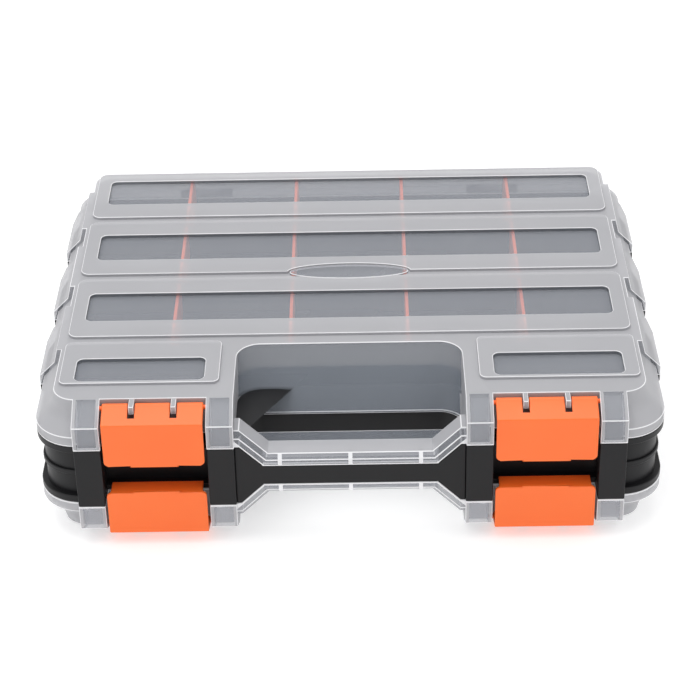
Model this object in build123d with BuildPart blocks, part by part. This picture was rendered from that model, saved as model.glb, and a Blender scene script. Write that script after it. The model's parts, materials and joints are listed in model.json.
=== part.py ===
from build123d import *
import math
import os

os.makedirs("parts", exist_ok=True)

# A double-sided parts organiser, in millimetres. +Z is up, the handle and latches face -Y, the lid
# hinges are at +Y, and the origin is on the ground under the middle of the whole object.
# The upper half is modelled, and the lower half is its mirror image about the mid plane.

# Meeting edge of the lids and the centre case, in plan
edge_half_x = 157.5  # half width over the edges
back_y = 127.5  # back of the edges
front_y = -130.0  # front of the edges at the front corners
back_corner_r = 20.0
front_corner_r = 22.0

# Heights
core_height = 34.0  # centre case, from one parting plane to the other
lid_height = 23.0  # one lid, from its parting plane to the top of its panels
panel_height = 1.6  # raised panels on the lid's roof
side_height = 5.5  # upright part of the lid's side wall
shoulder_run = 8.3  # the shoulder slopes in at 45 degrees by this much
roof_inset = 10.2  # from the edge to the edge of the roof

# Walls and clearances
lid_wall = 2.0
case_wall = 2.0
web_thickness = 2.0  # floor between the two sides
fit_gap = 0.4  # between a lid and what stands inside it
running_gap = 0.05  # radial, round every pin
side_play = 0.3  # beside a knuckle

# Centre case
flange_height = 4.0
flange_overhang = 3.0
bead_height = 3.0  # rib round the middle of the case's wall
bead_reach = 1.2
row_top_gap = 1.5  # from the row walls to the lid's roof

# Side lugs, one in front of each row wall on both sides
lug_reach = 2.5
lug_length = 33.0
lug_ramp = 10.0
lug_lead = 6.9  # the lug's front face stands this far in front of its row wall
lug_root = 12.0  # how far the lug's form reaches in over the shoulder

# Front posts and latch recesses
latch_inset = 60.5  # from the side edge to the middle of each latch
post_proud = 4.0  # in front of the edge
post_width = 13.5
post_bevel_height = 7.9  # sloping top of a post's front
post_bevel_run = 14.0
recess_half = 26.2  # half width of the recess between two posts
recess_depth = 14.5

# Handle and finger gap
handle_setback = 1.5  # behind the front of the posts
handle_depth = 13.7
handle_core_height = 11.0
handle_cap_height = 6.0  # the lid's share of the handle
handle_cap_bevel = 2.5
handle_root = 1.0  # how far the handle's core reaches into the posts
haunch_angle = math.radians(45)  # slope of the handle's ends
haunch_to_post = 2.5
cap_rib_inset = 8.3  # from the end of the handle's straight part to the cap's end rib
finger_gap = 31.8
finger_corner_r = 12.0
finger_lean = 17.0  # the gap's rear wall leans back by this much up to the roof

# Rows, windows and dividers
rows = 3
columns = 5
row_to_gap = 3.6  # from the front row wall's middle to the finger gap's rim
valley_width = 5.4  # between two panels
panel_margin = 2.3  # from a panel to the roof's edge
panel_corner_r = 5.0
window_margin_x = 7.5  # from a window's end to its panel's
window_length_y = 27.5
window_depth = 2.0
window_corner_r = 3.5
front_panel_to_gap = 7.7  # from the finger gap to the front panels beside it
front_panel_to_recess = 12.0
front_window_length_y = 20.5
front_window_margin_y = 2.0  # from a front window to its panel's front
divider_thickness = 1.8
divider_top_gap = 0.5
slot_gap = 0.15
slot_rib = 1.2
slot_depth = 1.6

# Bare lens-shaped plaque in the middle of each lid
plaque_shift = 2.5  # behind the middle row wall
plaque_half_x = 32.0
plaque_half_y = 7.2
plaque_border = 1.0
plaque_drop = 0.4

# Latches
latch_side_gap = 1.2  # from a latch to the posts beside it
latch_proud = 1.0  # in front of the posts
latch_thickness = 1.8
latch_corner_r = 2.5
pivot_drop = 3.6  # pivot below the roof
pivot_setback = 3.1  # pivot in front of the recess's back wall
barrel_r = 2.4
stub_r = 1.2
stub_reach = 1.4  # into the post's cheek
bend_drop = 5.8  # the latch's upper bend below the roof
catch_top_drop = 4.0  # catch rib on the case, below the parting plane
catch_height = 2.7
catch_gap = 0.3
hook_inset = 2.0  # from a latch's side to its hook's
hook_reach = 10.3  # depth of the latch's lower return
lip_height = 0.8
lip_half = 12.0
lip_angle = 60.0
tab_spacing = 10.4  # two lid tabs stand in notches of each latch
tab_width = 2.6
tab_reach = 4.2
tab_drop = 0.4  # top of a tab below the roof
notch_play = 0.4
notch_depth = 7.9

# Lid hinges
hinge_inset = 72.5  # from the side edge to the middle of a hinge
hinge_setback = 4.5  # from the edge to the pin
knuckle_r = 3.0
lid_knuckle = 14.0
case_knuckle = 8.0
pin_r = 1.5
knuckle_root = 1.0  # how far an arm reaches into the wall

# Places worked out from the sizes above
overrun = 20.0  # cuts run this far past what they cut
parting_z = lid_height + core_height
top_z = 2 * lid_height + core_height
mid_z = top_z / 2
plate_z = top_z - panel_height
roof_under_z = plate_z - lid_wall
shoulder_low_z = parting_z + side_height
shoulder_high_z = shoulder_low_z + shoulder_run
web_top_z = mid_z + web_thickness / 2
rib_reach = case_wall / 2 + slot_depth  # from the middle of a row wall to the face of its slot ribs
row_top_z = roof_under_z - row_top_gap
divider_top_z = roof_under_z - divider_top_gap

post_y = front_y - post_proud
latch_y = post_y - latch_proud
latch_x = edge_half_x - latch_inset
latch_width = 2 * (recess_half - latch_side_gap)
recess_y = post_y + recess_depth
handle_y = post_y + handle_setback
handle_back_y = handle_y + handle_depth
gap_y = handle_back_y + finger_gap
gap_roof_y = gap_y + finger_lean
gap_half = latch_x - recess_half - post_width
collar_z = mid_z + handle_core_height / 2
haunch_rise = parting_z - collar_z
handle_half_flat = gap_half - haunch_to_post - haunch_rise / math.tan(haunch_angle)
far_x = edge_half_x + overrun
far_y = post_y - overrun
far_back_y = back_y + overrun

post_x = [
    side * (latch_x + step * (recess_half + post_width / 2)) for side in (-1, 1) for step in (-1, 1)
]

case_half_x = edge_half_x - flange_overhang - case_wall
case_back_y = back_y - flange_overhang - case_wall
front_row_wall_y = gap_roof_y + row_to_gap
row_pitch = (case_back_y + case_wall / 2 - front_row_wall_y) / rows
row_wall_y = [front_row_wall_y + row_pitch * row for row in reversed(range(rows))]
column_pitch = 2 * case_half_x / columns
divider_x = [column_pitch * (step - columns / 2) for step in range(1, columns)]
row_ends = [(wall_y + case_wall / 2, wall_y + row_pitch - case_wall / 2) for wall_y in row_wall_y]

panel_x = edge_half_x - roof_inset - panel_margin
panel_ends = [back_y - roof_inset - panel_margin] + [y - valley_width / 2 for y in row_wall_y]
window_half_x = panel_x - window_margin_x
front_panel_x = gap_half + front_panel_to_gap
front_panel_y = recess_y + front_panel_to_recess
front_window_x = front_panel_x + window_margin_x
front_window_y = front_panel_y + front_window_margin_y

pivot_y = recess_y - pivot_setback
pivot_z = plate_z - pivot_drop
bend_z = plate_z - bend_drop
catch_top_z = parting_z - catch_top_drop
hook_top_z = catch_top_z - catch_height - catch_gap
hook_low_z = hook_top_z - latch_thickness
hook_tip_y = latch_y + hook_reach
catch_y = hook_tip_y + catch_gap

hinge_x = edge_half_x - hinge_inset
hinge_y = back_y + hinge_setback
pin_half = lid_knuckle / 2 + side_play + case_knuckle
middle_plane = Plane.XY.offset(mid_z)
sides = ((-1, "left"), (1, "right"))


def edge_plan(inset):
    """Rounded outline of the meeting edge, shrunk by inset."""
    with BuildSketch(mode=Mode.PRIVATE) as plan:
        with Locations((0, (back_y + front_y) / 2)):
            Rectangle(2 * (edge_half_x - inset), back_y - front_y - 2 * inset)
        fillet(plan.vertices().group_by(Axis.Y)[-1], back_corner_r - inset)
        fillet(plan.vertices().group_by(Axis.Y)[0], front_corner_r - inset)
    return plan.sketch


def recess_plan(grow):
    """Outline of the two latch recesses, grown by grow."""
    with BuildSketch(mode=Mode.PRIVATE) as plan:
        with Locations(*((side * latch_x, recess_y + grow) for side in (-1, 1))):
            Rectangle(2 * (recess_half + grow), recess_depth + overrun, align=(Align.CENTER, Align.MAX))
    return plan.sketch


def gap_plan(rear_y, grow, front):
    """Outline of the finger gap from front to rear_y, grown by grow at its sides and rear."""
    with BuildSketch(mode=Mode.PRIVATE) as plan:
        with Locations((0, rear_y + grow)):
            Rectangle(2 * (gap_half + grow), rear_y + grow - front, align=(Align.CENTER, Align.MAX))
        fillet(plan.vertices().group_by(Axis.Y)[-1], finger_corner_r + grow)
    return plan.sketch


def lug_plan():
    """Side lugs: a straight side with a blunt front face and a ramp at the rear."""
    outer = edge_half_x + lug_reach
    inner = edge_half_x - lug_root
    with BuildSketch(mode=Mode.PRIVATE) as plan:
        for wall_y in row_wall_y:
            lug_y = wall_y - lug_lead
            with BuildLine():
                Polyline(
                    (inner, lug_y),
                    (outer, lug_y),
                    (outer, lug_y + lug_length),
                    (edge_half_x, lug_y + lug_length + lug_ramp),
                    (inner, lug_y + lug_length + lug_ramp),
                    close=True,
                )
            make_face()
        mirror(plan.sketch, about=Plane.YZ)
    return plan.sketch


def leaning_gap(grow, front):
    """The finger gap from the collar's foot to the top, its rear wall leaning back as it rises."""
    with BuildPart() as form:
        for z, rear_y in ((collar_z, gap_y), (top_z, gap_roof_y)):
            with BuildSketch(Plane.XY.offset(z)):
                add(gap_plan(rear_y, grow, front))
        loft(ruled=True)
    return form.part


def dome(inset):
    """The lid's form over the edge outline: upright side, sloping shoulder, steep rim, flat roof."""
    levels = (
        (parting_z, 0),
        (shoulder_low_z, 0),
        (shoulder_high_z, shoulder_run),
        (plate_z, roof_inset),
    )
    with BuildPart() as form:
        for z, step in levels:
            with BuildSketch(Plane.XY.offset(z)):
                add(edge_plan(inset + step))
        loft(ruled=True)
    return form.part


def lid_form(inset):
    """The lid's solid form, shrunk by inset all round and at the roof."""
    slope = math.atan2(post_bevel_height, post_bevel_run)
    bevel_z = plate_z - post_bevel_height
    bevel_start_z = bevel_z - inset / math.cos(slope) + inset * math.tan(slope)
    bevel_end_y = post_y + post_bevel_run + inset * (1 / math.cos(slope) - 1) / math.tan(slope)
    post_root_y = recess_y + recess_depth
    with BuildPart() as form:
        add(dome(inset))
        with BuildSketch(Plane.XY.offset(parting_z)):
            add(recess_plan(inset))
        extrude(amount=lid_height, mode=Mode.SUBTRACT)
        for x in post_x:
            with BuildSketch(Plane.YZ.offset(x)):
                with BuildLine():
                    Polyline(
                        (post_y + inset, parting_z),
                        (post_y + inset, bevel_start_z),
                        (bevel_end_y, plate_z - inset),
                        (post_root_y, plate_z - inset),
                        (post_root_y, parting_z),
                        close=True,
                    )
                make_face()
            extrude(amount=post_width / 2 - inset, both=True)
        add(leaning_gap(inset, far_y), mode=Mode.SUBTRACT)
        split(bisect_by=Plane.XY.offset(plate_z - inset), keep=Keep.BOTTOM)
    return form.part


def handle_half(low, high):
    """Elevation points, from the post to the middle, of a band over the handle's core."""
    points = []
    for distance in (low, high):
        flat = handle_half_flat - distance * math.tan(haunch_angle / 2)
        end_z = parting_z + distance / math.cos(haunch_angle)
        haunch = flat + (end_z - collar_z - distance) / math.tan(haunch_angle)
        points.append([(gap_half + handle_root, end_z), (haunch, end_z), (flat, collar_z + distance)])
    return points


def handle_band(y, low, high):
    """Face at y of a band across the handle, between two distances above its core's top edge."""
    lower, upper = handle_half(low, high)
    with BuildSketch(Plane.XZ.offset(-y), mode=Mode.PRIVATE) as band:
        with BuildLine():
            Polyline(
                *lower,
                *[(-x, z) for x, z in reversed(lower)],
                *[(-x, z) for x, z in upper],
                *reversed(upper),
                close=True,
            )
        make_face()
    return band.sketch


def knuckle(x, half_length, arm_low_z, arm_high_z):
    """Hinge barrel at x with its arm from the edge, bored for the pin."""
    with BuildPart() as form:
        with BuildSketch(Plane.YZ.offset(x)):
            with Locations((hinge_y, parting_z)):
                Circle(knuckle_r)
            with Locations((back_y - knuckle_root, arm_low_z)):
                Rectangle(hinge_setback + knuckle_root, arm_high_z - arm_low_z, align=(Align.MIN, Align.MIN))
            with Locations((hinge_y, parting_z)):
                Circle(pin_r + running_gap, mode=Mode.SUBTRACT)
        extrude(amount=half_length, both=True)
    return form.part


def block(x, y, low_z, high_z):
    """Box between pairs of x and y and two heights."""
    with BuildPart() as form:
        with BuildSketch(Plane.XY.offset(low_z)):
            with Locations((sum(x) / 2, sum(y) / 2)):
                Rectangle(x[1] - x[0], y[1] - y[0])
        extrude(amount=high_z - low_z)
    return form.part


def case_plan(inset):
    """Outline of the case's wall with its front posts, shrunk by inset."""
    with BuildSketch(mode=Mode.PRIVATE) as plan:
        add(edge_plan(flange_overhang + inset))
        add(recess_plan(inset), mode=Mode.SUBTRACT)
        with Locations(*((x, post_y + inset) for x in post_x)):
            Rectangle(post_width - 2 * inset, recess_depth + case_wall, align=(Align.CENTER, Align.MIN))
    return plan.sketch


lid_outside = lid_form(0)
lid_inside = lid_form(lid_wall)
lid_room = lid_form(lid_wall + fit_gap)
lug_dome = dome(-lug_reach)
open_gap = leaning_gap(0, far_y)
collar_outside = leaning_gap(lid_wall, handle_back_y + fit_gap)
collar_room = leaning_gap(lid_wall + fit_gap, handle_back_y)
surround = leaning_gap(lid_wall + fit_gap + case_wall, far_y)
lid_knuckles = [knuckle(side * hinge_x, lid_knuckle / 2, parting_z, parting_z + knuckle_r) for side in (-1, 1)]
case_knuckle_offset = lid_knuckle / 2 + side_play + case_knuckle / 2
case_knuckles = [
    knuckle(side * hinge_x + step * case_knuckle_offset, case_knuckle / 2, parting_z - knuckle_r, parting_z)
    for side in (-1, 1)
    for step in (-1, 1)
]

# Top lid: one translucent moulding with a collar round the finger gap and a cap over the handle
with BuildPart() as lug_form:
    with BuildSketch(Plane.XY.offset(parting_z)):
        add(lug_plan())
    extrude(amount=lid_height)
    add(lug_dome, mode=Mode.INTERSECT)

with BuildPart() as collar:
    add(collar_outside)
    split(bisect_by=Plane.XY.offset(plate_z), keep=Keep.BOTTOM)

cap_bevel_y = handle_y + handle_cap_bevel
cap_back = handle_band(handle_back_y, 0, handle_cap_height)
cap_middle = handle_band(cap_bevel_y, 0, handle_cap_height)
cap_front = handle_band(handle_y, 0, handle_cap_height - handle_cap_bevel)
cap_hollow = handle_band(handle_back_y - lid_wall, 0, handle_cap_height - lid_wall)
with BuildPart() as cap:
    extrude(cap_back, amount=handle_depth - handle_cap_bevel)
    loft([cap_middle.face(), cap_front.face()], ruled=True)
with BuildPart() as cap_space:
    extrude(cap_hollow, amount=handle_depth - 2 * lid_wall)
    add(
        block((-handle_half_flat, handle_half_flat), (handle_y, handle_back_y), mid_z, top_z),
        mode=Mode.INTERSECT,
    )
    for step in (-1, 0, 1):
        rib_x = step * (handle_half_flat - cap_rib_inset)
        add(
            block((rib_x - lid_wall / 2, rib_x + lid_wall / 2), (handle_y, handle_back_y), mid_z, top_z),
            mode=Mode.SUBTRACT,
        )

with BuildPart() as top_lid:
    add(lid_outside)
    add(lug_form.part)
    add(lid_inside, mode=Mode.SUBTRACT)
    add(collar.part)
    add(open_gap, mode=Mode.SUBTRACT)
    # raised panels, one to a row, and two in front beside the finger gap
    with BuildSketch(Plane.XY.offset(plate_z)):
        for row, wall_y in enumerate(row_wall_y):
            low_y = wall_y + valley_width / 2
            with Locations((0, (low_y + panel_ends[row]) / 2)):
                RectangleRounded(2 * panel_x, panel_ends[row] - low_y, panel_corner_r)
        for side in (-1, 1):
            with Locations((side * (panel_x + front_panel_x) / 2, (panel_ends[-1] + front_panel_y) / 2)):
                RectangleRounded(panel_x - front_panel_x, panel_ends[-1] - front_panel_y, window_corner_r)
    extrude(amount=panel_height)
    # windows
    with BuildSketch(Plane.XY.offset(top_z)):
        for wall_y in row_wall_y:
            with Locations((0, wall_y + row_pitch / 2)):
                RectangleRounded(2 * window_half_x, window_length_y, window_corner_r)
        for side in (-1, 1):
            with Locations(
                (side * (front_window_x + window_half_x) / 2, front_window_y + front_window_length_y / 2)
            ):
                RectangleRounded(window_half_x - front_window_x, front_window_length_y, window_corner_r)
    extrude(amount=-window_depth, mode=Mode.SUBTRACT)
    # bare plaque in a lens-shaped frame
    for grow, height, mode in (
        (plaque_border, panel_height, Mode.SUBTRACT),
        (0, panel_height - plaque_drop, Mode.ADD),
    ):
        with BuildSketch(Plane.XY.offset(plate_z)):
            with Locations((0, row_wall_y[rows // 2] + plaque_shift)):
                Ellipse(plaque_half_x + grow, plaque_half_y + grow)
        extrude(amount=height, mode=mode)
    add(cap.part)
    add(cap_space.part, mode=Mode.SUBTRACT)
    # bores for the latches' stubs, and tabs in the notches of each latch
    for side in (-1, 1):
        with BuildSketch(Plane.YZ.offset(side * latch_x)):
            with Locations((pivot_y, pivot_z)):
                Circle(stub_r + running_gap)
        extrude(amount=recess_half + stub_reach + 2 * running_gap, both=True, mode=Mode.SUBTRACT)
        for step in (-1, 1):
            tab_x = side * latch_x + step * tab_spacing
            add(
                block(
                    (tab_x - tab_width / 2, tab_x + tab_width / 2),
                    (pivot_y - tab_reach, recess_y + lid_wall / 2),
                    pivot_z - stub_r,
                    plate_z - tab_drop,
                )
            )
    for piece in lid_knuckles:
        add(piece)

# Centre case: the upper half of one black moulding
with BuildPart() as hollow:
    with BuildSketch(Plane.XY.offset(web_top_z)):
        add(case_plan(case_wall))
    extrude(amount=parting_z - web_top_z + overrun)
    add(surround, mode=Mode.SUBTRACT)
    with BuildSketch(Plane.XY.offset(mid_z)):
        add(gap_plan(gap_y, lid_wall + fit_gap + case_wall, far_y))
    extrude(amount=handle_core_height, mode=Mode.SUBTRACT)

slot_x = [
    x + step * (divider_thickness / 2 + slot_gap + slot_rib / 2) for x in divider_x for step in (-1, 1)
]
with BuildPart() as row_walls:
    with BuildSketch(Plane.XY.offset(mid_z)):
        with Locations(*((0, y) for y in row_wall_y)):
            Rectangle(2 * case_half_x, case_wall)
    extrude(amount=row_top_z - mid_z)
    # pairs of ribs hold the dividers
    with BuildSketch(Plane.XY.offset(mid_z)):
        with Locations(*((x, y) for x in slot_x for y in row_wall_y[:-1])):
            Rectangle(slot_rib, 2 * rib_reach)
        with Locations(*((x, row_wall_y[-1]) for x in slot_x)):
            Rectangle(slot_rib, rib_reach, align=(Align.CENTER, Align.MIN))
        with Locations(*((x, case_back_y + case_wall / 2) for x in slot_x)):
            Rectangle(slot_rib, rib_reach, align=(Align.CENTER, Align.MAX))
    extrude(amount=parting_z - mid_z)

with BuildPart() as tall_walls:
    add(row_walls.part)
    add(lid_room, mode=Mode.INTERSECT)

with BuildPart() as case_half:
    with BuildSketch(middle_plane):
        add(case_plan(0))
    extrude(amount=parting_z - mid_z)
    # bead round the middle and flange under the lid's edge
    for low_z, height, plans in (
        (mid_z, bead_height / 2, (edge_plan(flange_overhang - bead_reach),)),
        (parting_z - flange_height, flange_height, (edge_plan(0), lug_plan())),
    ):
        with BuildSketch(Plane.XY.offset(low_z)):
            for plan in plans:
                add(plan)
            add(recess_plan(0), mode=Mode.SUBTRACT)
        extrude(amount=height)
    add(hollow.part, mode=Mode.SUBTRACT)
    add(row_walls.part)
    split(bisect_by=Plane.XY.offset(parting_z), keep=Keep.BOTTOM)
    add(tall_walls.part)
    # the finger gap, with room behind for the lid's collar, and the handle's core across it
    add(collar_room, mode=Mode.SUBTRACT)
    with BuildSketch(middle_plane):
        add(gap_plan(gap_y, 0, far_y))
    extrude(amount=lid_height + core_height, mode=Mode.SUBTRACT)
    lower_band, upper_band = handle_half(0, handle_cap_height)
    with BuildSketch(Plane.XZ.offset(-handle_back_y)):
        with BuildLine():
            Polyline(
                *lower_band,
                *[(-x, z) for x, z in reversed(lower_band)],
                (-gap_half - handle_root, mid_z),
                (gap_half + handle_root, mid_z),
                close=True,
            )
        make_face()
    extrude(amount=handle_depth)
    # catch ribs over the latches' hooks
    for side in (-1, 1):
        add(
            block(
                (side * latch_x - recess_half - case_wall / 2, side * latch_x + recess_half + case_wall / 2),
                (catch_y, recess_y + case_wall / 2),
                catch_top_z - catch_height,
                catch_top_z,
            )
        )
    for piece in case_knuckles:
        add(piece)

with BuildPart() as centre_case:
    add(case_half.part)
    mirror(case_half.part, about=middle_plane)


def mirrored(part):
    """The same piece on the other side of the middle plane."""
    with BuildPart() as copy:
        mirror(part, about=middle_plane, mode=Mode.ADD)
    return copy.part


def export_pair(upper, name):
    """Write an upper piece and its mirror image below."""
    for part, level in ((upper, "top"), (mirrored(upper), "bottom")):
        part.label = name.format(level)
        export_step(part, "parts/" + part.label + ".step")


export_pair(top_lid.part, "{}_lid")

# The case is one moulding. It is parted into plain pieces that meet face to face, each given by
# the rectangles it covers in plan, so that every compartment stays open between its floor and walls
corner_x = edge_half_x - back_corner_r
corner_y = back_y - back_corner_r
back_rib_y = case_back_y - slot_depth
row_wall_face_y = row_wall_y[-1] - case_wall / 2
gap_wall_x = gap_half + lid_wall + fit_gap + case_wall
whole_x = (-case_half_x, case_half_x)
case_pieces = {
    "case_back_wall": [((-corner_x, corner_x), (back_rib_y, far_back_y))],
    "case_gap_wall": [((-gap_wall_x, gap_wall_x), (handle_back_y, row_wall_face_y))],
    "case_grip": [((-gap_half, gap_half), (far_y, handle_back_y))],
    "case_row1_floor": [
        (whole_x, (row_wall_y[0] + rib_reach, corner_y)),
        ((-corner_x, corner_x), (corner_y, back_rib_y)),
    ],
    f"case_row{rows}_wall": [(whole_x, (row_wall_face_y, row_wall_y[-1] + rib_reach))],
}
for row in range(1, rows):
    case_pieces[f"case_row{row}_wall"] = [
        (whole_x, (row_wall_y[row - 1] - rib_reach, row_wall_y[row - 1] + rib_reach))
    ]
    case_pieces[f"case_row{row + 1}_floor"] = [
        (whole_x, (row_wall_y[row] + rib_reach, row_wall_y[row - 1] - rib_reach))
    ]
for side, side_name in sides:
    outer_x = side * far_x
    case_pieces["case_back_corner_" + side_name] = [((side * corner_x, outer_x), (corner_y, far_back_y))]
    case_pieces["case_side_" + side_name] = [((side * case_half_x, outer_x), (row_wall_face_y, corner_y))]
    case_pieces["case_front_" + side_name] = [
        ((side * gap_half, outer_x), (far_y, handle_back_y)),
        ((side * gap_wall_x, outer_x), (handle_back_y, row_wall_face_y)),
    ]

for name, spans in case_pieces.items():
    with BuildPart() as region:
        for x, y in spans:
            add(block(sorted(x), y, -overrun, top_z + overrun))
    with BuildPart() as case_piece:
        add(centre_case.part)
        add(region.part, mode=Mode.INTERSECT)
    case_piece.part.label = name
    export_step(case_piece.part, "parts/" + name + ".step")

# Latches: a hinged plate with a barrel on stub pins, a lip, and a hook that turns in under the catch
plate_back_y = latch_y + latch_thickness
with BuildPart() as latch_blank:
    with BuildSketch(Plane.YZ):
        with Locations((pivot_y, pivot_z)):
            Circle(barrel_r)
        with BuildLine():
            Polyline(
                (pivot_y, pivot_z + barrel_r),
                (latch_y, bend_z),
                (latch_y, parting_z),
                (plate_back_y, parting_z),
                (plate_back_y, bend_z - latch_thickness / 2),
                (pivot_y, pivot_z),
                close=True,
            )
        make_face()
    extrude(amount=latch_width / 2, both=True)
    with BuildSketch(Plane.XZ.offset(-plate_back_y)) as face_plate:
        with Locations((0, hook_low_z)):
            Rectangle(latch_width, parting_z - hook_low_z, align=(Align.CENTER, Align.MIN))
        fillet(face_plate.vertices().group_by(Axis.Y)[0], latch_corner_r)
        # the lip is the lower half of a trapezoid that is centred on the plate's lower edge
        with Locations((0, hook_low_z)):
            Trapezoid(2 * lip_half, 2 * lip_height, lip_angle)
    extrude(amount=latch_thickness)
    with BuildSketch(Plane.XY.offset(hook_low_z)):
        with Locations((0, plate_back_y - latch_thickness / 2)):
            Rectangle(
                latch_width - 2 * hook_inset,
                hook_reach - latch_thickness / 2,
                align=(Align.CENTER, Align.MIN),
            )
    extrude(amount=latch_thickness)
    # notches round the lid's tabs
    with BuildSketch(Plane.XY.offset(hook_top_z)):
        with Locations(*((step * tab_spacing, pivot_y - notch_depth) for step in (-1, 1))):
            Rectangle(tab_width + 2 * notch_play, notch_depth + overrun, align=(Align.CENTER, Align.MIN))
    extrude(amount=top_z - hook_top_z, mode=Mode.SUBTRACT)
    # stub pins at both ends of the barrel
    for side in (-1, 1):
        with BuildSketch(Plane.YZ.offset(side * latch_width / 2)):
            with Locations((pivot_y, pivot_z)):
                Circle(stub_r)
        extrude(amount=side * (recess_half + stub_reach - latch_width / 2))

for side, side_name in sides:
    with BuildPart() as latch:
        with Locations((side * latch_x, 0, 0)):
            add(latch_blank.part)
    export_pair(latch.part, "latch_{}_" + side_name)

# Lid hinge pins, one to each hinge
for side, side_name in sides:
    with BuildPart() as hinge_pin:
        with BuildSketch(Plane.YZ.offset(side * hinge_x)):
            with Locations((hinge_y, parting_z)):
                Circle(pin_r)
        extrude(amount=pin_half, both=True)
    export_pair(hinge_pin.part, "hinge_pin_{}_" + side_name)

# Dividers stand on the web in their slots, trimmed to the inside of the lid
with BuildPart() as inside:
    with BuildSketch(middle_plane):
        add(edge_plan(flange_overhang + case_wall))
    extrude(amount=parting_z - mid_z)
    add(lid_room)

for row, (low_y, high_y) in enumerate(row_ends):
    for column, x in enumerate(divider_x):
        with BuildPart() as divider:
            add(
                block(
                    (x - divider_thickness / 2, x + divider_thickness / 2),
                    (low_y + slot_gap, high_y - slot_gap),
                    web_top_z,
                    divider_top_z,
                )
            )
            add(inside.part, mode=Mode.INTERSECT)
        export_pair(divider.part, "divider_{}_" + f"row{row + 1}_{column + 1}")
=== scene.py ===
"""Looks of a double-sided parts organiser: frosted lids, black case, orange latches and dividers."""

import json
import logging
import math
from collections.abc import Callable
from dataclasses import dataclass, field
from enum import Enum, IntEnum

import bmesh
import bpy
from mathutils import Matrix, Vector

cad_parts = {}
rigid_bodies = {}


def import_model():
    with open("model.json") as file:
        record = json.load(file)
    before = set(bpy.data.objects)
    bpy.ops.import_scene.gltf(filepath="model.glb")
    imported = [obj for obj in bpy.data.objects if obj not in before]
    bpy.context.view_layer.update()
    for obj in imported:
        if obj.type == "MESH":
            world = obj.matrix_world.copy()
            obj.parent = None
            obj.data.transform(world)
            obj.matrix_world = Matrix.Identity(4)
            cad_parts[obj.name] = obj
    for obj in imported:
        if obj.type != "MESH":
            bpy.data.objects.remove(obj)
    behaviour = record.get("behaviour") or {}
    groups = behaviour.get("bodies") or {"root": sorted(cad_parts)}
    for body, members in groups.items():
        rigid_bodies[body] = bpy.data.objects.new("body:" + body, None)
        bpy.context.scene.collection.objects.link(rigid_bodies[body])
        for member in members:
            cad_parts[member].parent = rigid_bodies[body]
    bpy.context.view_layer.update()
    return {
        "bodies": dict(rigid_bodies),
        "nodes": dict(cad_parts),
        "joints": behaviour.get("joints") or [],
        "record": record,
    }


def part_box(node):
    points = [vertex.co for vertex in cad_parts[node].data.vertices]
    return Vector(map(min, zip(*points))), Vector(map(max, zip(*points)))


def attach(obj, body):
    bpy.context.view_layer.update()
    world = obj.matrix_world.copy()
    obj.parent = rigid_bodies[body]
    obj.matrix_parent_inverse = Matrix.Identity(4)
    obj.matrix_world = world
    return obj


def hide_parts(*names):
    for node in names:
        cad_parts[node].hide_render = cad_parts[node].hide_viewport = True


LOG = logging.getLogger("organiser")
MM = 0.001
PHOTO_SIDE_PX = 700
SENSOR_MM = 36.0
SHARP_ANGLE = math.radians(32)
FLAT_ANGLE = math.radians(0.5)  # faces that turn by less than this are one face
WELD = 5e-6
BEVEL_STEPS = 2
LEVEL = 0.9  # share of a unit normal along an axis, above which a face looks along it
LEANING = 0.3  # above which it leans that way
STEEP = 0.2  # below which a face stands nearly upright
UPRIGHT = 0.1  # below which it stands upright
NOT_ROOF = 0.95  # below which it isn't part of the level roof
Chooser = Callable[[Vector, Vector], int]


def linear(hex_colour: str) -> tuple[float, float, float, float]:
    """Turn an sRGB hex colour into linear light.

    Args:
        hex_colour: Six hex digits, such as "FD7E4A".

    Returns:
        Red, green, blue and a full alpha.
    """
    parts = [int(hex_colour[step : step + 2], 16) / 255 for step in (0, 2, 4)]
    low_end, slope, offset, power = 0.04045, 12.92, 0.055, 2.4
    return (
        *(part / slope if part <= low_end else ((part + offset) / (1 + offset)) ** power for part in parts),
        1.0,
    )


def add_node(
    tree: bpy.types.NodeTree, kind: str, settings: dict | None = None, links: dict | None = None
) -> bpy.types.Node:
    """Add a node to a tree with its settings and links.

    Args:
        tree: The tree that takes the node.
        kind: The node's type name.
        settings: Values by property name, or by socket number or name.
        links: Output sockets of other nodes, by input socket number or name.

    Returns:
        The new node.
    """
    node = tree.nodes.new(kind)
    for key, value in (settings or {}).items():
        if isinstance(key, int) or key in node.inputs:
            node.inputs[key].default_value = value
        else:
            setattr(node, key, value)
    for key, source in (links or {}).items():
        tree.links.new(source, node.inputs[key])
    return node


@dataclass(frozen=True)
class Grain:
    """Fine texture that a blasted or etched mould leaves."""

    size_mm: float = 0.6
    height_mm: float = 0.012

    def normal(self, tree: bpy.types.NodeTree) -> bpy.types.NodeSocket:
        """Bumped normal of the grain."""
        place = add_node(tree, "ShaderNodeTexCoord")
        grain = add_node(
            tree,
            "ShaderNodeTexNoise",
            {"Scale": 1 / (self.size_mm * MM), "Detail": 2.0, "Roughness": 0.5},
            {"Vector": place.outputs["Object"]},
        )
        settings = {"Strength": 1.0, "Distance": self.height_mm * MM}
        return add_node(tree, "ShaderNodeBump", settings, {"Height": grain.outputs[0]}).outputs[0]


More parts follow.
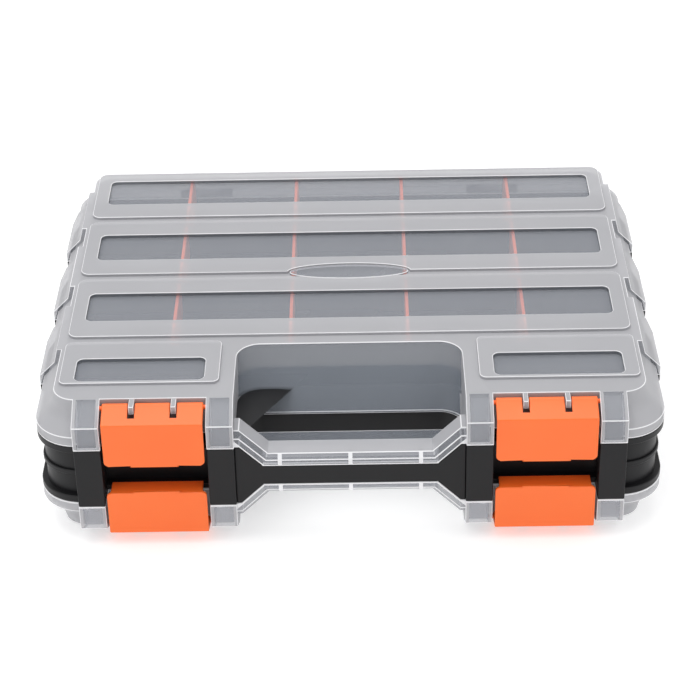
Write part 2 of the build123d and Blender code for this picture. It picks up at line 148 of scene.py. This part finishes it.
@dataclass(frozen=True)
class MouldedPlastic:
    """Injection-moulded plastic with mould grain and a slow drift of colour.

    A cover under 1 lets what lies behind show through each skin, as in natural polypropylene:
    etched skins look like pale ice, polished ones like smoky glass. Glow stands for the light
    that such a wall carries to its edges.
    """

    name: str
    colour: str
    drift_colour: str
    roughness: float
    cover: float = 1.0
    glow: float = 0.0
    specular: float = 0.5
    grain: Grain = field(default_factory=Grain)
    drift_mm: float = 30.0
    ior: float = 1.49

    def material(self) -> bpy.types.Material:
        """The plastic as a node material."""
        material = bpy.data.materials.new(self.name)
        material.use_nodes = True
        tree = material.node_tree
        tree.nodes.clear()
        place = add_node(tree, "ShaderNodeTexCoord")
        drift = add_node(
            tree,
            "ShaderNodeTexNoise",
            {"Scale": 1 / (self.drift_mm * MM), "Detail": 2.0},
            {"Vector": place.outputs["Object"]},
        )
        shade = add_node(
            tree,
            "ShaderNodeMix",
            {"data_type": "RGBA", 6: linear(self.colour), 7: linear(self.drift_colour)},
            {0: drift.outputs[0]},
        )
        body = add_node(
            tree,
            "ShaderNodeBsdfPrincipled",
            {
                "IOR": self.ior,
                "Roughness": self.roughness,
                "Alpha": self.cover,
                "Specular IOR Level": self.specular,
                "Emission Color": linear(self.drift_colour),
                "Emission Strength": self.glow,
            },
            {"Base Color": shade.outputs[2], "Normal": self.grain.normal(tree)},
        )
        add_node(tree, "ShaderNodeOutputMaterial", links={"Surface": body.outputs[0]})
        return material


@dataclass(frozen=True)
class DrawnSteelWire:
    """Bright drawn steel wire: metal with faint lines along its length."""

    colour: str = "B8BABD"
    roughness: float = 0.32
    spread: float = 0.1
    line_mm: float = 0.15
    line_stretch: float = 0.05

    def material(self) -> bpy.types.Material:
        """Steel with drawn lines along X."""
        material = bpy.data.materials.new("drawn_steel_wire")
        material.use_nodes = True
        tree = material.node_tree
        tree.nodes.clear()
        place = add_node(tree, "ShaderNodeTexCoord")
        stretch = add_node(
            tree, "ShaderNodeMapping", {"Scale": (self.line_stretch, 1.0, 1.0)}, {0: place.outputs["Object"]}
        )
        lines = add_node(
            tree, "ShaderNodeTexNoise", {"Scale": 1 / (self.line_mm * MM)}, {"Vector": stretch.outputs[0]}
        )
        rough = add_node(
            tree,
            "ShaderNodeMapRange",
            {"To Min": self.roughness - self.spread, "To Max": self.roughness + self.spread},
            {"Value": lines.outputs[0]},
        )
        body = add_node(
            tree,
            "ShaderNodeBsdfPrincipled",
            {"Base Color": linear(self.colour), "Metallic": 1.0},
            {"Roughness": rough.outputs[0]},
        )
        add_node(tree, "ShaderNodeOutputMaterial", links={"Surface": body.outputs[0]})
        return material


class Level(Enum):
    """Which side of the case a piece is on."""

    TOP = "top"
    BOTTOM = "bottom"


class Side(Enum):
    """Left or right of the middle, with its sign along X."""

    LEFT = -1
    RIGHT = 1

    @property
    def label(self) -> str:
        """The side's name in node names."""
        return self.name.lower()


class LidSkin(IntEnum):
    """Material slots of a lid."""

    FROSTED = 0
    # bright edges: painted highlight
    EDGE = 1
    PANE = 2
    # painted shade on walls that face away from the light
    SMOKY = 3
    CLEAR = 4
    # low band of the collar, with painted shade
    COLLAR = 5


LID_FINISHES = {
    # etched natural polypropylene: pale, milky, what lies behind shows only as a shade
    LidSkin.FROSTED: MouldedPlastic("frosted_polypropylene", "BDBDC1", "C4C4C8", 0.42, 0.66),
    # painted highlight: edges of the same wall, paler and glowing as if the light it carries came out there:
    # thin bright lines
    LidSkin.EDGE: MouldedPlastic("lit_edge_polypropylene", "E6E6E9", "F0F0F2", 0.3, 0.85, glow=0.1),
    # polished window: the dark case and the dividers show through
    LidSkin.PANE: MouldedPlastic("polished_polypropylene_pane", "BCC0CA", "C4C8D0", 0.12, 0.27),
    # painted shade: a grey copy of the lid on walls that face away from the light, as the window's sides and
    # the inside of the back
    LidSkin.SMOKY: MouldedPlastic("shaded_polypropylene", "6E7278", "7A7E84", 0.25, 0.7),
    # smooth fronts of the posts and the cap: clear with a cool tint
    LidSkin.CLEAR: MouldedPlastic("clear_polypropylene_post", "C6CAD2", "CDD0D8", 0.2, 0.3),
    # collar round the finger gap, low band: blue-grey over the black wall behind it, and painted darker as
    # shade deep in the gap
    LidSkin.COLLAR: MouldedPlastic("clear_polypropylene_collar", "AEB6C2", "B6BECA", 0.2, 0.28),
}
# blasted mould: soft, dull highlights on near black
BLACK_CASE = MouldedPlastic(
    "black_moulded_polypropylene", "141416", "1A1A1C", 0.42, specular=0.26, grain=Grain(0.5, 0.02)
)
# satin orange with a fine even grain
LATCH_ORANGE = MouldedPlastic("orange_moulded_abs", "F86A22", "FA742B", 0.38, grain=Grain(0.5, 0.02))
# a lighter and duller orange, seen through the windows
DIVIDER_ORANGE = MouldedPlastic("orange_moulded_divider", "FF7040", "FF8050", 0.45, grain=Grain(0.5, 0.02))


@dataclass
class Moulding:
    """A visible moulding made from the shapes of one or more CAD nodes, with rounded edges."""

    name: str
    nodes: list[str]
    body: str
    slot: str
    edge_width_mm: float
    edge_slot: int = -1
    seams: dict[str, str] = field(default_factory=dict)  # ends of a node that meet the next one

    def seam_planes(self, node: str) -> list[tuple[int, float]]:
        """Planes where the moulding was parted into nodes.

        Args:
            node: The node whose ends meet the next one.

        Returns:
            An axis number and a place along it for each end.
        """
        ends = self.seams.get(node, "").split()
        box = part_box(node) if ends else ()
        return [("xyz".index(end[0]), box["-+".index(end[1])]["xyz".index(end[0])]) for end in ends]

    def has_room(self, edge: bmesh.types.BMEdge) -> bool:
        """Whether both faces of an edge reach far enough from it to be rounded."""
        start, along = edge.verts[0].co, (edge.verts[1].co - edge.verts[0].co).normalized()
        reaches = (max((v.co - start).cross(along).length for v in face.verts) for face in edge.link_faces)
        return min(reaches) > 2 * self.edge_width_mm * MM

    def build(
        self,
        frame: dict,
        materials: list[bpy.types.Material],
        choose: Chooser | None = None,
        prepare: Callable[[bmesh.types.BMesh], None] | None = None,
    ) -> bpy.types.Object:
        """Join the nodes' shapes, weld them, round their edges and put the result in their place.

        Args:
            frame: The loaded frame.
            materials: The moulding's materials, in slot order.
            choose: Gives a face's slot from its middle and normal.
            prepare: Works on the joined shape before its faces are chosen.

        Returns:
            The new piece.
        """
        joined = bmesh.new()
        for node in self.nodes:
            planes = self.seam_planes(node)
            piece = bmesh.new()
            piece.from_mesh(frame["nodes"][node].data)
            seam_faces = [
                face
                for face in piece.faces
                if any(all(abs(v.co[axis] - place) < WELD for v in face.verts) for axis, place in planes)
            ]
            bmesh.ops.delete(piece, geom=seam_faces, context="FACES")
            scrap = bpy.data.meshes.new("scrap")
            piece.to_mesh(scrap)
            piece.free()
            joined.from_mesh(scrap)
            bpy.data.meshes.remove(scrap)
        bmesh.ops.remove_doubles(joined, verts=joined.verts, dist=WELD)
        bmesh.ops.dissolve_limit(
            joined, angle_limit=FLAT_ANGLE, verts=joined.verts, edges=joined.edges, delimit={"NORMAL"}
        )
        if prepare:
            prepare(joined)
        for face in joined.faces:
            face.smooth = True
            face.material_index = choose(face.calc_center_median(), face.normal) if choose else 0
        weight = joined.edges.layers.float.new("bevel_weight_edge")
        for edge in joined.edges:
            edge.smooth = len(edge.link_faces) == 2 and edge.calc_face_angle(math.pi) < SHARP_ANGLE
            edge[weight] = float(not edge.smooth and edge.is_convex and self.has_room(edge))
        mesh = bpy.data.meshes.new(self.name)
        joined.to_mesh(mesh)
        joined.free()
        for material in materials:
            mesh.materials.append(material)
        piece = bpy.data.objects.new(self.name, mesh)
        bpy.context.scene.collection.objects.link(piece)
        bevel = piece.modifiers.new("moulded_edges", "BEVEL")
        bevel.width = self.edge_width_mm * MM
        bevel.segments = BEVEL_STEPS
        bevel.limit_method = "WEIGHT"
        bevel.harden_normals = True
        bevel.use_clamp_overlap = False
        # the rounded edges take the edge slot; on the lids that slot holds the painted highlight
        bevel.material = self.edge_slot
        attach(piece, self.body)
        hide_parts(*self.nodes)
        LOG.info("%s: %d faces", self.name, len(mesh.polygons))
        return piece


@dataclass(frozen=True)
class WindowPlan:
    """Where the lid's clear windows are, in metres."""

    half_x: float = 0.1375
    length_y: float = 0.0275
    row_centres_y: tuple[float, ...] = (0.09185, 0.02855, -0.03475)
    front_x: tuple[float, float] = (0.0725, 0.1375)
    front_y: tuple[float, float] = (-0.1055, -0.085)
    pane_low: float = 0.0362  # from the middle plane to below the panes
    pane_high: float = 0.0382  # and to just over their outer faces
    rim: float = 0.0002

    def boxes(self) -> list[tuple[float, float, float, float]]:
        """Windows as middle |x|, half x, middle y and half y."""
        rows = [(0.0, self.half_x, y, self.length_y / 2) for y in self.row_centres_y]
        low_x, high_x = self.front_x
        low_y, high_y = self.front_y
        front = ((low_x + high_x) / 2, (high_x - low_x) / 2, (low_y + high_y) / 2, (high_y - low_y) / 2)
        return [*rows, front]

    def skin(self, across: float, y: float, height: float, normal: Vector) -> int | None:
        """Skin of a face that belongs to a window, else None.

        Args:
            across: The face's distance from the middle, along X.
            y: Its place along Y.
            height: Its distance from the middle plane.
            normal: Its normal.

        Returns:
            The skin's slot, or None.
        """
        for middle_x, half_x, middle_y, half_y in self.boxes():
            if max(abs(across - middle_x) - half_x, abs(y - middle_y) - half_y) > self.rim:
                continue
            if abs(normal.z) > LEVEL and self.pane_low < height < self.pane_high:
                return LidSkin.PANE
            if abs(normal.z) < UPRIGHT and height > self.pane_high:
                # painted shade on the window's upright sides
                return LidSkin.SMOKY
        return None


@dataclass(frozen=True)
class FrontPlan:
    """Where the lid's clear posts, cap, collar, plaque and bright rims are, in metres."""

    middle_z: float = 0.040
    parting: float = 0.017  # from the middle plane to the lid's edge
    rim: float = 0.0008  # height of the painted-highlight rim over the edge
    foot: float = 0.0055  # from the middle plane to the collar's foot and the cap's lower edge
    post_x: tuple[float, float] = (0.06405, 0.12995)
    post_clear_half: float = 0.0049
    post_back_y: float = -0.1192
    cap_half_x: float = 0.0565
    cap_flat_x: float = 0.0433
    cap_front_y: float = -0.1299
    cap_back_y: float = -0.1187
    rib_x: float = 0.035
    rib_half: float = 0.001
    collar_y: tuple[float, float] = (-0.0905, -0.0645)
    collar_half_x: float = 0.0595
    collar_band: float = 0.0275  # over the middle plane; below it the collar has painted shade, above it the collar is paler
    plaque_y: float = -0.0006
    plaque_half: tuple[float, float] = (0.032, 0.0072)
    plaque_low: float = 0.0388
    lug_x: float = 0.149
    lug_y: float = -0.09
    back_wall_y: float = 0.100

    def cap_skin(self, across: float, height: float) -> int:
        """Skin of the cap's front: clear, with painted highlight in a rim below and in stripes over the ribs
        behind.
        """
        over = height - self.foot - max(across - self.cap_flat_x, 0.0)
        slope = math.sqrt(2) if across > self.cap_flat_x else 1.0
        by_rib = min(across, abs(across - self.rib_x)) < self.rib_half
        return LidSkin.EDGE if over < self.rim * slope or by_rib else LidSkin.CLEAR

    def skin(self, across: float, y: float, height: float, normal: Vector) -> int:
        """Skin of a face outside the windows.

        Args:
            across: The face's distance from the middle, along X.
            y: Its place along Y.
            height: Its distance from the middle plane.
            normal: Its normal.

        Returns:
            The skin's slot.
        """
        slanted = abs(normal.y) > LEANING
        low_y, high_y = self.collar_y
        if y < self.cap_back_y and across < self.cap_half_x:
            return self.cap_skin(across, height) if y < self.cap_front_y and slanted else LidSkin.FROSTED
        off_rim = min(abs(height - edge - self.rim / 2) for edge in (self.parting, self.foot))
        if abs(normal.z) < STEEP and off_rim < self.rim / 2:
            # painted highlight: a bright rim over the lid's edge and over the foot
            return LidSkin.EDGE
        off_post = min(abs(across - x) for x in self.post_x)
        if slanted and y < self.post_back_y and off_post < self.post_clear_half:
            return LidSkin.CLEAR
        if slanted and low_y < y < high_y and across < self.collar_half_x:
            # painted shade on the collar's low band, deep in the finger gap
            return LidSkin.COLLAR if height < self.collar_band else LidSkin.CLEAR
        half_x, half_y = self.plaque_half
        if height > self.plaque_low and math.hypot(across / half_x, (y - self.plaque_y) / half_y) < 1:
            return LidSkin.CLEAR
        if across > self.lug_x and y > self.lug_y and normal.y < -LEVEL:
            return LidSkin.CLEAR
        # painted shade on the inside of the back wall, which faces away from the light
        return LidSkin.SMOKY if y > self.back_wall_y and normal.y < -LEANING else LidSkin.FROSTED

    def cuts(self) -> list[tuple[Vector, Vector, float]]:
        """Planes that part the skins: a point, a normal, and how far back their faces reach."""
        post_edges = [x + side * self.post_clear_half for x in self.post_x for side in (-1, 1)]
        rib_edges = [self.rib_half, self.rib_x - self.rib_half, self.rib_x + self.rib_half, self.cap_flat_x]
        heights = (self.collar_band, self.parting + self.rim, self.foot + self.rim)
        over_flat = self.foot + self.rim * math.sqrt(2)
        along_x = Vector((1, 0, 0))
        made = []
        for sign in (-1, 1):
            made += [(Vector((sign * x, 0, 0)), along_x, self.post_back_y) for x in post_edges + rib_edges]
            made += [(Vector((0, 0, self.middle_z + sign * z)), Vector((0, 0, 1)), 1.0) for z in heights]
            for up in (-1, 1):
                point = Vector((sign * self.cap_flat_x, 0, self.middle_z + up * over_flat))
                made.append((point, Vector((sign, 0, -up)).normalized(), self.post_back_y))
        return made


@dataclass
class Lid:
    """A translucent lid."""

    level: Level
    edge_width_mm: float = 0.35
    windows: WindowPlan = field(default_factory=WindowPlan)
    front: FrontPlan = field(default_factory=FrontPlan)

    def skin(self, place: Vector, normal: Vector) -> int:
        """Which of the lid's skins a face has.

        Args:
            place: The face's middle.
            normal: The face's normal.

        Returns:
            The skin's slot.
        """
        seat = (abs(place.x), place.y, abs(place.z - self.front.middle_z), normal)
        found = self.windows.skin(*seat)
        return self.front.skin(*seat) if found is None else found

    def part_skins(self, shape: bmesh.types.BMesh) -> None:
        """Cut the upright and slanted faces along the edges of their skins."""
        for point, normal, back_y in self.front.cuts():
            faces = [f for f in shape.faces if abs(f.normal.z) < NOT_ROOF and f.calc_center_median().y < back_y]
            parts = {part for f in faces for part in (f, *f.edges, *f.verts)}
            bmesh.ops.bisect_plane(shape, geom=list(parts), dist=WELD, plane_co=point, plane_no=normal)

    def build(self, frame: dict, finish: list[bpy.types.Material]) -> None:
        """Make the lid with its frosted skin, edges of painted highlight and clear windows."""
        node = f"{self.level.value}_lid"
        # the lid's rounded edges get the painted highlight
        shell = Moulding(f"{node}_shell", [node], node, "lid_clear", self.edge_width_mm, LidSkin.EDGE)
        shell.build(frame, finish, self.skin, self.part_skins)


@dataclass
class Latch:
    """An orange latch."""

    level: Level
    side: Side
    edge_width_mm: float = 0.5

    def build(self, frame: dict, plastic: bpy.types.Material) -> None:
        """Make the latch with its soft edges."""
        node = f"latch_{self.level.value}_{self.side.label}"
        Moulding(f"{node}_plate", [node], node, "latch_orange", self.edge_width_mm).build(frame, [plastic])


@dataclass
class CentreCase:
    """The black centre case with its dividers and hinge pins."""

    edge_width_mm: float = 0.6
    divider_edge_mm: float = 0.3
    rows: int = 3
    dividers: int = 4

    def seams(self) -> dict[str, str]:
        """Ends of the case's outer nodes that meet the next node."""
        ends = {"case_back_wall": "x- x+"}
        for side in Side:
            inner = "x+" if side is Side.LEFT else "x-"
            ends[f"case_back_corner_{side.label}"] = f"y- {inner}"
            ends[f"case_side_{side.label}"] = "y- y+"
            ends[f"case_front_{side.label}"] = "y+"
        return ends

    def build(
        self,
        frame: dict,
        black: bpy.types.Material,
        orange: bpy.types.Material,
        steel: bpy.types.Material,
    ) -> None:
        """Join the case's nodes into its one moulding, and finish the dividers and pins."""
        nodes = sorted(name for name in frame["nodes"] if name.startswith("case_"))
        Moulding("centre_case", nodes, "case", "case_black", self.edge_width_mm, seams=self.seams()).build(
            frame, [black]
        )
        for level in Level:
            for row in range(1, self.rows + 1):
                for number in range(1, self.dividers + 1):
                    node = f"divider_{level.value}_row{row}_{number}"
                    Moulding(f"{node}_plate", [node], "case", "divider_orange", self.divider_edge_mm).build(
                        frame, [orange]
                    )
            for side in Side:
                frame["nodes"][f"hinge_pin_{level.value}_{side.label}"].material_slots[0].material = steel


@dataclass(frozen=True)
class SoftLamp:
    """A square soft lamp: place and side in metres, power in watts."""

    name: str
    place: tuple[float, float, float]
    size: float
    power: float


@dataclass
class Studio:
    """Camera at the photograph's viewpoint, pale floor, soft lamps."""

    camera_place: tuple[float, float, float] = (0.00874, -0.99658, 0.66291)
    pitch_deg: float = -32.47
    yaw_deg: float = 0.52
    roll_deg: float = 1.17
    focal_px: float = 2138.85
    floor_side: float = 12.0
    floor_colour: str = "DCDCDC"
    floor_glow: float = 0.46
    surround: float = 0.68
    aim_z: float = 0.04
    lamps: tuple[SoftLamp, ...] = (
        SoftLamp("overhead", (-0.2, 0.3, 1.6), 1.4, 13.0),
        SoftLamp("key", (-0.7, -0.6, 1.5), 1.2, 5.0),
        SoftLamp("fill", (0.9, -0.4, 1.1), 1.0, 2.0),
    )

    def camera(self) -> None:
        """Place the camera by pitch, yaw and roll."""
        yaw = Matrix.Rotation(math.radians(self.yaw_deg), 3, "Z")
        pitch = Matrix.Rotation(math.radians(self.pitch_deg), 3, "X")
        roll = Matrix.Rotation(math.radians(self.roll_deg), 3, "Y")
        turn = yaw @ pitch @ roll
        right, ahead, up = turn.col[0], turn.col[1], turn.col[2]
        pose = Matrix((right, up, -ahead)).transposed().to_4x4()
        pose.translation = Vector(self.camera_place)
        data = bpy.data.cameras.new("camera")
        data.sensor_width = SENSOR_MM
        data.lens = self.focal_px / PHOTO_SIDE_PX * SENSOR_MM
        data.clip_start = 0.01
        camera = bpy.data.objects.new("camera", data)
        camera.matrix_world = pose
        bpy.context.scene.collection.objects.link(camera)
        bpy.context.scene.camera = camera

    def floor(self) -> None:
        """A plain white floor."""
        mesh = bpy.data.meshes.new("floor")
        half = self.floor_side / 2
        corners = [(-half, -half, 0), (half, -half, 0), (half, half, 0), (-half, half, 0)]
        mesh.from_pydata(corners, [], [(0, 1, 2, 3)])
        floor = bpy.data.objects.new("floor", mesh)
        bpy.context.scene.collection.objects.link(floor)
        material = bpy.data.materials.new("studio_floor")
        material.use_nodes = True
        tree = material.node_tree
        tree.nodes.clear()
        paint = add_node(
            tree,
            "ShaderNodeBsdfPrincipled",
            {
                "Base Color": linear(self.floor_colour),
                "Roughness": 1.0,
                "Specular IOR Level": 0.0,
                "Emission Color": (1, 1, 1, 1),
                "Emission Strength": self.floor_glow,
            },
        )
        add_node(tree, "ShaderNodeOutputMaterial", links={"Surface": paint.outputs[0]})
        mesh.materials.append(material)

    def add_lamp(self, lamp: SoftLamp) -> None:
        """A square soft lamp that faces the object.

        Args:
            lamp: The lamp's name, place, size and power.
        """
        data = bpy.data.lights.new(lamp.name, "AREA")
        data.size = lamp.size
        data.energy = lamp.power
        light = bpy.data.objects.new(lamp.name, data)
        light.location = lamp.place
        towards = Vector((0, 0, self.aim_z)) - Vector(lamp.place)
        light.rotation_euler = towards.to_track_quat("-Z", "Y").to_euler()
        bpy.context.scene.collection.objects.link(light)

    def world(self) -> None:
        """An even surround that is white where seen and a little dimmer as a light."""
        world = bpy.data.worlds.new("surround")
        world.use_nodes = True
        tree = world.node_tree
        tree.nodes.clear()
        path = add_node(tree, "ShaderNodeLightPath")
        seen = path.outputs["Is Camera Ray"]
        for kind in ("Is Glossy Ray", "Is Transmission Ray"):
            seen = add_node(
                tree, "ShaderNodeMath", {"operation": "MAXIMUM"}, {0: seen, 1: path.outputs[kind]}
            ).outputs[0]
        strength = add_node(
            tree, "ShaderNodeMapRange", {"To Min": self.surround, "To Max": 1.0}, {"Value": seen}
        )
        back = add_node(
            tree, "ShaderNodeBackground", {"Color": (1, 1, 1, 1)}, {"Strength": strength.outputs[0]}
        )
        add_node(tree, "ShaderNodeOutputWorld", links={"Surface": back.outputs[0]})
        bpy.context.scene.world = world

    def build(self) -> None:
        """Set up camera, floor, lamps and surround."""
        self.camera()
        self.floor()
        self.world()
        for lamp in self.lamps:
            self.add_lamp(lamp)
        bpy.context.scene.view_settings.view_transform = "Standard"


def main() -> None:
    """Load the frame, dress every piece and set up the studio."""
    logging.basicConfig(level=logging.INFO, format="%(message)s")
    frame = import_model()
    Studio().build()
    lid_finish = [LID_FINISHES[skin].material() for skin in LidSkin]
    black = BLACK_CASE.material()
    latch_orange = LATCH_ORANGE.material()
    divider_orange = DIVIDER_ORANGE.material()
    steel = DrawnSteelWire().material()
    for level in Level:
        Lid(level).build(frame, lid_finish)
        for side in Side:
            Latch(level, side).build(frame, latch_orange)
    CentreCase().build(frame, black, divider_orange, steel)


if __name__ == "__main__":
    main()
